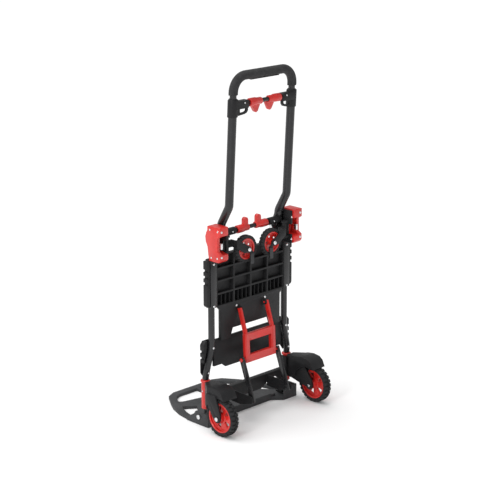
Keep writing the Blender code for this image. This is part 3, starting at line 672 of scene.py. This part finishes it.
def build_tubes():
    for name, side in SIDES:
        rail = smooth_path([
            mm(POST_X * side, 103.0, 160.85), mm(190.9 * side, 100.0, 184.0), mm(RAIL_X * side, 96.0, 264.0),
            mm(RAIL_X * side, 96.0, 454.0)], 0.012)
        tube = swept(f"lower_rail_{name}_tube", rail, [RAIL_R] * len(rail), 32, RAIL_R - WALL)
        link_piece(f"lower_rail_{name}_tube", tube, "lower_frame", "black_paint", f"lower_rail_{name}")
        x = HANDLE_X * side
        handle = smooth_path([
            mm(x, 104.0, 609.0), mm(x, 104.0, 628.0), mm(x, 87.2, 668.0), mm(x, 86.4, 681.0),
            mm(x, 49.7, 744.6), mm(x, lean(HANDLE_TOP), HANDLE_TOP)], 0.0085)
        tube = swept(f"handle_{name}_tube", handle, [HANDLE_R] * len(handle), 40, HANDLE_R - WALL)
        link_piece(f"handle_{name}_tube", tube, "handle", "black_paint", f"handle_tube_{name}")
    for name, half, y, z in (("lower", *LOWER_ROD), ("upper", *UPPER_ROD)):
        ends = [mm(-half, y, z), mm(half, y, z)]
        rod = swept(f"{name}_rod_tube", ends, [ROD_R] * 2, 32, ROD_R - 0.0025)
        link_piece(f"{name}_rod_tube", rod, "handle", "black_paint", f"{name}_cross_rod")


# ---- grip ----
def build_grip():
    line = grip_line(GRIP_LOW)
    tube = swept("grip_inner_tube", line, [GRIP_R] * len(line), 32)
    link_piece("grip_inner_tube", tube, "grip", "black_paint", "grip_tube")
    line = grip_line(FOAM_LOW)
    first, last = line[0], line[-1]
    ends = [first + Vector((0, 0, step)) for step in (0.0, 0.0008, 0.0022, 0.0045)]
    starts = [last + Vector((0, 0, step)) for step in (0.0045, 0.0022, 0.0008, 0.0)]
    lip = [FOAM_R - 0.0035, FOAM_R - 0.0016, FOAM_R - 0.0004, FOAM_R]
    path = ends + line[1:-1] + starts
    radii = lip + [FOAM_R] * (len(line) - 2) + lip[::-1]
    foam = swept("grip_sleeve", path, radii, 40, GRIP_R + 0.00035)
    ridges = 18
    step = 0.0070
    bar = mm(0.0, lean(GRIP_TOP), GRIP_TOP)
    ridge = bmesh.new()
    bmesh.ops.create_uvsphere(ridge, u_segments=16, v_segments=10, radius=1.0)
    bmesh.ops.scale(ridge, verts=ridge.verts, vec=(0.0024, 0.0108, 0.0034))
    start = bar + Vector((-step * (ridges - 1) / 2, 0.0, 0.0008 - FOAM_R))
    bmesh.ops.translate(ridge, verts=ridge.verts, vec=start)
    ribs = repeat("grip_ridges", "In a line", mesh_of(ridge, "ridge"), "foam", Count=ridges, Step=(step, 0.0, 0.0))
    foam = link_piece("grip_sleeve", joined("grip_sleeve", [foam, ribs]), "grip", "foam", "grip_foam")
    foam.data.shade_smooth()
    foam.data.set_sharp_from_angle(angle=math.radians(60.0))


# ---- moulded and stamped parts ----
MOULDED = {
    "cross_member": 0.0012, "lower_deck": 0.0014, "upper_deck": 0.0009, "toe_plate": 0.0016, "release_frame": 0.0016,
}
MOULDED_PAIRS = {
    "fork": 0.0016, "lower_wing": 0.0018, "upper_wing": 0.0018, "upper_channel": 0.0008,
    "hinge_housing": 0.0024, "hinge_plate": 0.0008, "strap_arm": 0.0008, "lower_sleeve": 0.0006,
    "upper_bracket": 0.0018, "caster_arm": 0.0010, "lower_tab": 0.0014, "upper_tab": 0.0014,
}
FITTINGS = {
    "wheel_axle": 0.0006, "toe_pivot_bolt": 0.0006, "handle_pivot": 0.0006, "hinge_latch": 0.0008,
    "lower_lock_pin": 0.0003, "upper_lock_pin": 0.0003,
}


def build_moulded(edge):
    scale = edge / 0.0012
    for node, width in MOULDED.items():
        from_frame(node, width * scale)
    for pair, width in MOULDED_PAIRS.items():
        for name, _ in SIDES:
            from_frame(f"{pair}_{name}", width * scale)
    for name, side in SIDES:
        foot = mm(POST_X * side, POST_Y, 0.0)
        profile = [
            (0.0118, 0.0580), (0.0130, 0.0592), (0.0130, 0.1506), (0.0156, 0.1515), (0.0160, 0.1520),
            (0.0160, 0.1562), (0.0154, 0.1572), (0.0140, 0.1580)]
        post = turned(f"post_{name}_turned", profile, foot, (0, 0, 1), 48, False)
        link_piece(f"post_{name}_turned", post, "lower_frame", "red_plastic", f"post_{name}")


def build_deck_ribs():
    """Fine upright ribs in the deck's lowest row of pockets."""
    count = 15
    step = 0.0191
    low = mm(-step * 1000 * (count - 1) / 2 - 0.7, 86.0, 407.5)
    high = mm(-step * 1000 * (count - 1) / 2 + 0.7, 101.5, 445.5)
    ribs = repeat("deck_ribs", "In a line", rib(low, high), "black_plastic", Count=count, Step=(step, 0.0, 0.0))
    link_piece("deck_ribs", ribs, "upper_frame", "black_plastic")


def build_pedal_pads():
    """Grey pads on the pedals that hang beside the stowed casters' axles."""
    for name, side in SIDES:
        x = 44.8 * side
        pad = rounded(rib(mm(x - 7.0, 30.5, 541.0), mm(x + 7.0, 33.5, 577.0)), 0.0012)
        link_piece(f"caster_stop_{name}", pad, f"caster_{name}", "grey_plastic")


# ---- rivets and bolts ----
BACKWARD = (math.pi / 2, 0.0, 0.0)
OUTWARD = {-1.0: (0.0, -math.pi / 2, 0.0), 1.0: (0.0, math.pi / 2, 0.0)}


def rivets(name, points, radius, turn, body):
    """Domed heads at millimetre points, as one piece on a body."""
    base = bpy.data.meshes.new(f"{name}_points")
    base.from_pydata([mm(*point) for point in points], [], [])
    heads = grown(name, "Rivet heads", base, "zinc", Radius=radius, Turn=turn)
    link_piece(name, heads, body, "zinc")


def build_rivets(radius):
    back = {"upper_frame": [], "lower_frame": []}
    for name, side in SIDES:
        back["upper_frame"] += [(RAIL_X * side, 82.0, z) for z in (553.6, 410.2)]
        back["upper_frame"] += [(149.8 * side, 41.2, z) for z in (661.0, 585.0)]
        back["upper_frame"] += [(182.0 * side, 33.2, z) for z in (672.0, 588.0)]
        back["lower_frame"] += [(170.6 * side, 85.2, 266.0), (189.4 * side, 89.2, 182.0)]
        outside = [(190.0 * side, y, z) for y, z in ((44.0, 673.0), (80.0, 674.0), (46.0, 584.0), (74.0, 582.0))]
        rivets(f"housing_rivets_{name}", outside, radius * 0.8, OUTWARD[side], "upper_frame")
        rivets(f"caster_bolt_{name}", [(58.8 * side, 30.0, 591.5)], 0.0068, BACKWARD, f"caster_{name}")
        rivets(f"deck_bolt_{name}", [(66.0 * side, 84.0, 391.0)], 0.0045, BACKWARD, "upper_frame")
        rivets(f"post_rivets_{name}", [(206.0 * side, POST_Y, 120.0)], radius * 0.6, OUTWARD[side], "lower_frame")
        rivets(f"bracket_rivet_{name}", [(95.0 * side, 14.5, 1082.0)], radius * 0.7, BACKWARD, "handle")
        rivets(f"sleeve_rivet_{name}", [(96.0 * side, 69.5, 651.0)], radius * 0.7, BACKWARD, "handle")
    for body, points in back.items():
        rivets(f"{body}_rivets", points, radius, BACKWARD, body)


def build_fittings():
    for pair, width in FITTINGS.items():
        for name, _ in SIDES:
            from_frame(f"{pair}_{name}", width)


# ---- wheels ----
def lug_ring(name, radius, half, depth, count, side, start):
    """Tread blocks round one shoulder of a tyre, about the X axis."""
    top = radius - 0.0004
    profile = [
        (half * 0.10, radius - depth - 0.002), (half * 0.10, top), (half * 0.62, top),
        (half * 0.95, radius - depth * 0.75), (half * 0.985, radius - depth * 2.4),
        (half * 0.80, radius - depth * 2.4), (half * 0.70, radius - depth - 0.002),
    ]
    reach = math.pi * radius / count * 0.62
    shape = extruded([(x * side, z) for x, z in profile], -reach, reach)
    shape = rounded(shape, 0.0005, 1)
    return repeat(name, "Round an axle", shape, "rubber", Count=count, Start=start)


def tyre(name, radius, half, rim_r, depth, count):
    """A tyre about the X axis at the origin: a carcass with rounded shoulders and two rows of blocks."""
    tread = radius - depth
    profile = [
        (rim_r + 0.0004, 0.78 * half), (rim_r + 0.0018, 0.84 * half), (rim_r + 0.35 * (tread - rim_r), 0.97 * half),
        (rim_r + 0.62 * (tread - rim_r), 0.97 * half), (tread - 0.0022, 0.90 * half),
        (tread - 0.0006, 0.78 * half), (tread, 0.6 * half),
    ]
    profile = profile + [(r, -x) for r, x in reversed(profile)]
    carcass = turned(name, profile, (0, 0, 0), (1, 0, 0), 96, True)
    pitch = 2 * math.pi / count
    rows = [
        lug_ring(f"{name}_row_{row}", radius, half, depth, count, side, pitch * offset)
        for row, side, offset in ((0, 1.0, 0.0), (1, -1.0, 0.5))
    ]
    return joined(name, [carcass] + rows)


def spoked_rim(name, radius, half, hub_r, hub_half, bore, spokes, spoke_half):
    """A rim about the X axis at the origin: a flanged ring, a hub and tapered spokes with open windows."""
    ring = [
        (radius - 0.0060, half * 0.30), (radius - 0.0050, half * 0.92), (radius - 0.0036, half),
        (radius - 0.0006, half), (radius, half * 0.95),
    ]
    ring = ring + [(r, -x) for r, x in reversed(ring)]
    barrel = turned(name, ring, (0, 0, 0), (1, 0, 0), 80, True)
    hub = [
        (bore, hub_half * 0.97), (bore + 0.0006, hub_half), (hub_r - 0.0012, hub_half), (hub_r, hub_half * 0.94),
        (hub_r + 0.001, spoke_half * 1.4), (hub_r + 0.005, spoke_half),
    ]
    hub = hub + [(r, -x) for r, x in reversed(hub)]
    core = turned(name, hub, (0, 0, 0), (1, 0, 0), 56, True)
    web = [
        (radius - 0.0125, spoke_half * 0.55), (radius - 0.0115, spoke_half * 0.8), (radius - 0.0055, spoke_half * 1.5)]
    web = web + [(r, -x) for r, x in reversed(web)]
    edge = turned(name, web, (0, 0, 0), (1, 0, 0), 80, True)
    wide, narrow = radius * 0.34, radius * 0.17
    foot, tip = hub_r, radius - 0.0052
    spoke = block([
        (-spoke_half, -narrow, foot), (spoke_half, -narrow, foot), (spoke_half, narrow, foot),
        (-spoke_half, narrow, foot),
        (-spoke_half * 1.2, -wide, tip), (spoke_half * 1.2, -wide, tip), (spoke_half * 1.2, wide, tip),
        (-spoke_half * 1.2, wide, tip)])
    arms = repeat(f"{name}_spokes", "Round an axle", rounded(spoke, 0.0016), "red_plastic", Count=spokes, Start=0.3)
    return joined(name, [barrel, core, edge, arms])


def build_wheels(sizes):
    for name, side in SIDES:
        centre = Matrix.Translation((AXLE.x * side, AXLE.y, AXLE.z))
        rubber = tyre(f"tyre_{name}_treaded", TYRE_R, TYRE_HALF, RIM_R, sizes.tread, sizes.lugs)
        link_piece(f"tyre_{name}_treaded", moved(rubber, centre), f"wheel_{name}", "rubber", f"tyre_{name}")
        rim = spoked_rim(
            f"rim_{name}_spoked", RIM_R, 0.0135, 0.014, 0.018, 0.0054, sizes.spokes, 0.004)
        link_piece(f"rim_{name}_spoked", moved(rim, centre), f"wheel_{name}", "red_plastic", f"rim_{name}")


def build_casters(sizes):
    across = Matrix.Rotation(math.pi / 2, 4, 'Z')
    for name, side in SIDES:
        centre = Matrix.Translation((CASTER.x * side, CASTER.y, CASTER.z)) @ across
        rubber = tyre(
            f"caster_tyre_{name}_treaded", CASTER_R, CASTER_HALF, CASTER_RIM_R, sizes.tread * 0.7, sizes.lugs - 4)
        link_piece(
            f"caster_tyre_{name}_treaded", moved(rubber, centre), f"caster_wheel_{name}", "rubber",
            f"caster_tyre_{name}")
        rim = spoked_rim(
            f"caster_rim_{name}_spoked", CASTER_RIM_R, 0.009, 0.010, 0.0108, 0.0044, sizes.spokes, 0.0024)
        link_piece(
            f"caster_rim_{name}_spoked", moved(rim, centre), f"caster_wheel_{name}", "red_plastic",
            f"caster_rim_{name}")


# ---- stage ----
def area_light(name, place, target, size, power):
    light = bpy.data.lights.new(name, 'AREA')
    light.shape = 'DISK'
    light.size = size
    light.energy = power
    lamp = bpy.data.objects.new(name, light)
    lamp.location = place
    lamp.rotation_euler = (Vector(target) - Vector(place)).to_track_quat('-Z', 'Y').to_euler()
    bpy.context.scene.collection.objects.link(lamp)
    return lamp


def build_stage(stage):
    scene = bpy.context.scene
    half = 20.0
    mesh = bpy.data.meshes.new("floor")
    mesh.from_pydata([(-half, -half, 0), (half, -half, 0), (half, half, 0), (-half, half, 0)], [], [(0, 1, 2, 3)])
    paper = Nodes("floor_paper")
    tint = paper.noise(0.6, 2.0)
    paper.link(paper.tones(tint, (0.93, 0.93, 0.93), (0.95, 0.95, 0.95)), paper.shader.inputs["Base Color"])
    paper.shader.inputs["Roughness"].default_value = 0.9
    paper.shader.inputs["Specular IOR Level"].default_value = 0.1
    mesh.materials.append(paper.material)
    floor = bpy.data.objects.new("floor", mesh)
    scene.collection.objects.link(floor)
    ahead = Vector((
        -math.sin(stage.azimuth) * math.cos(stage.elevation), math.cos(stage.azimuth) * math.cos(stage.elevation),
        -math.sin(stage.elevation)))
    right = ahead.cross(Vector((0, 0, 1))).normalized()
    target = Vector((0.0, LINE_Y, stage.height)) + right * stage.sideways
    lens = bpy.data.cameras.new("camera")
    lens.lens = stage.lens
    lens.sensor_width = 36.0
    lens.clip_end = 100.0
    camera = bpy.data.objects.new("camera", lens)
    camera.location = target - ahead * stage.distance
    camera.rotation_euler = ahead.to_track_quat('-Z', 'Y').to_euler()
    scene.collection.objects.link(camera)
    scene.camera = camera
    sun = bpy.data.lights.new("overhead", 'SUN')
    sun.energy = stage.overhead
    sun.angle = math.radians(70.0)
    overhead = bpy.data.objects.new("overhead", sun)
    overhead.rotation_euler = Euler((math.radians(-12.0), math.radians(-14.0), 0.0))
    scene.collection.objects.link(overhead)
    key = area_light("key_light", (-4.2, -1.2, 2.2), (0, 0, 0.6), 1.2, stage.lamp)
    world = bpy.data.worlds.new("studio")
    world.use_nodes = True
    world.node_tree.nodes["Background"].inputs["Color"].default_value = (1.0, 1.0, 1.0, 1.0)
    world.node_tree.nodes["Background"].inputs["Strength"].default_value = 0.50
    scene.world = world
    scene.view_settings.view_transform = 'Standard'


# ---- operators ----
class TRUCK_OT_finishes(bpy.types.Operator):
    """Make the finishes and the node trees"""
    bl_idname = "truck.finishes"
    bl_label = "Finishes"

    def execute(self, context):
        make_finishes(context.scene.truck_colours)
        TREES["Round an axle"] = round_axle_tree()
        TREES["In a line"] = in_line_tree()
        TREES["Rivet heads"] = rivet_tree()
        return {'FINISHED'}


class TRUCK_OT_tubes(bpy.types.Operator):
    """Make the rails, the handle tubes and the cross rods"""
    bl_idname = "truck.tubes"
    bl_label = "Tubes"

    def execute(self, context):
        build_tubes()
        return {'FINISHED'}


class TRUCK_OT_grip(bpy.types.Operator):
    """Make the telescoping grip and its foam sleeve"""
    bl_idname = "truck.grip"
    bl_label = "Grip"

    def execute(self, context):
        build_grip()
        return {'FINISHED'}


class TRUCK_OT_moulded(bpy.types.Operator):
    """Make the moulded and stamped parts"""
    bl_idname = "truck.moulded"
    bl_label = "Moulded parts"

    def execute(self, context):
        build_moulded(context.scene.truck_sizes.edge)
        build_deck_ribs()
        build_pedal_pads()
        return {'FINISHED'}


class TRUCK_OT_fittings(bpy.types.Operator):
    """Make the bolts, pins, latches and rivets"""
    bl_idname = "truck.fittings"
    bl_label = "Fittings"

    def execute(self, context):
        build_fittings()
        build_rivets(context.scene.truck_sizes.rivet)
        return {'FINISHED'}


class TRUCK_OT_wheels(bpy.types.Operator):
    """Make the main wheels"""
    bl_idname = "truck.wheels"
    bl_label = "Main wheels"

    def execute(self, context):
        build_wheels(context.scene.truck_sizes)
        return {'FINISHED'}


class TRUCK_OT_casters(bpy.types.Operator):
    """Make the casters' wheels"""
    bl_idname = "truck.casters"
    bl_label = "Casters"

    def execute(self, context):
        build_casters(context.scene.truck_sizes)
        return {'FINISHED'}


class TRUCK_OT_stage(bpy.types.Operator):
    """Make the floor, the lights and the camera"""
    bl_idname = "truck.stage"
    bl_label = "Stage"

    def execute(self, context):
        build_stage(context.scene.truck_stage)
        return {'FINISHED'}


class TRUCK_PT_panel(bpy.types.Panel):
    """Settings and steps of the hand truck's finish"""
    bl_idname = "TRUCK_PT_panel"
    bl_label = "Hand truck"
    bl_space_type = 'VIEW_3D'
    bl_region_type = 'UI'
    bl_category = "Hand truck"

    def draw(self, context):
        layout = self.layout
        for group in (context.scene.truck_colours, context.scene.truck_sizes, context.scene.truck_stage):
            box = layout.box()
            for name in group.__annotations__:
                box.prop(group, name)
        for step in STEPS:
            layout.operator(step.bl_idname)


STEPS = (
    TRUCK_OT_finishes, TRUCK_OT_tubes, TRUCK_OT_grip, TRUCK_OT_moulded, TRUCK_OT_fittings, TRUCK_OT_wheels,
    TRUCK_OT_casters, TRUCK_OT_stage,
)
GROUPS = (("truck_colours", TruckColours), ("truck_sizes", TruckSizes), ("truck_stage", TruckStage))


def register():
    for name, group in GROUPS:
        bpy.utils.register_class(group)
        setattr(bpy.types.Scene, name, PointerProperty(type=group))
    for step in STEPS + (TRUCK_PT_panel,):
        bpy.utils.register_class(step)


def unregister():
    for step in reversed(STEPS + (TRUCK_PT_panel,)):
        bpy.utils.unregister_class(step)
    for name, group in reversed(GROUPS):
        delattr(bpy.types.Scene, name)
        bpy.utils.unregister_class(group)


def main():
    register()
    bpy.ops.truck.finishes()
    bpy.ops.truck.tubes()
    bpy.ops.truck.grip()
    bpy.ops.truck.moulded()
    bpy.ops.truck.fittings()
    bpy.ops.truck.wheels()
    bpy.ops.truck.casters()
    bpy.ops.truck.stage()


if __name__ == "__main__":
    main()
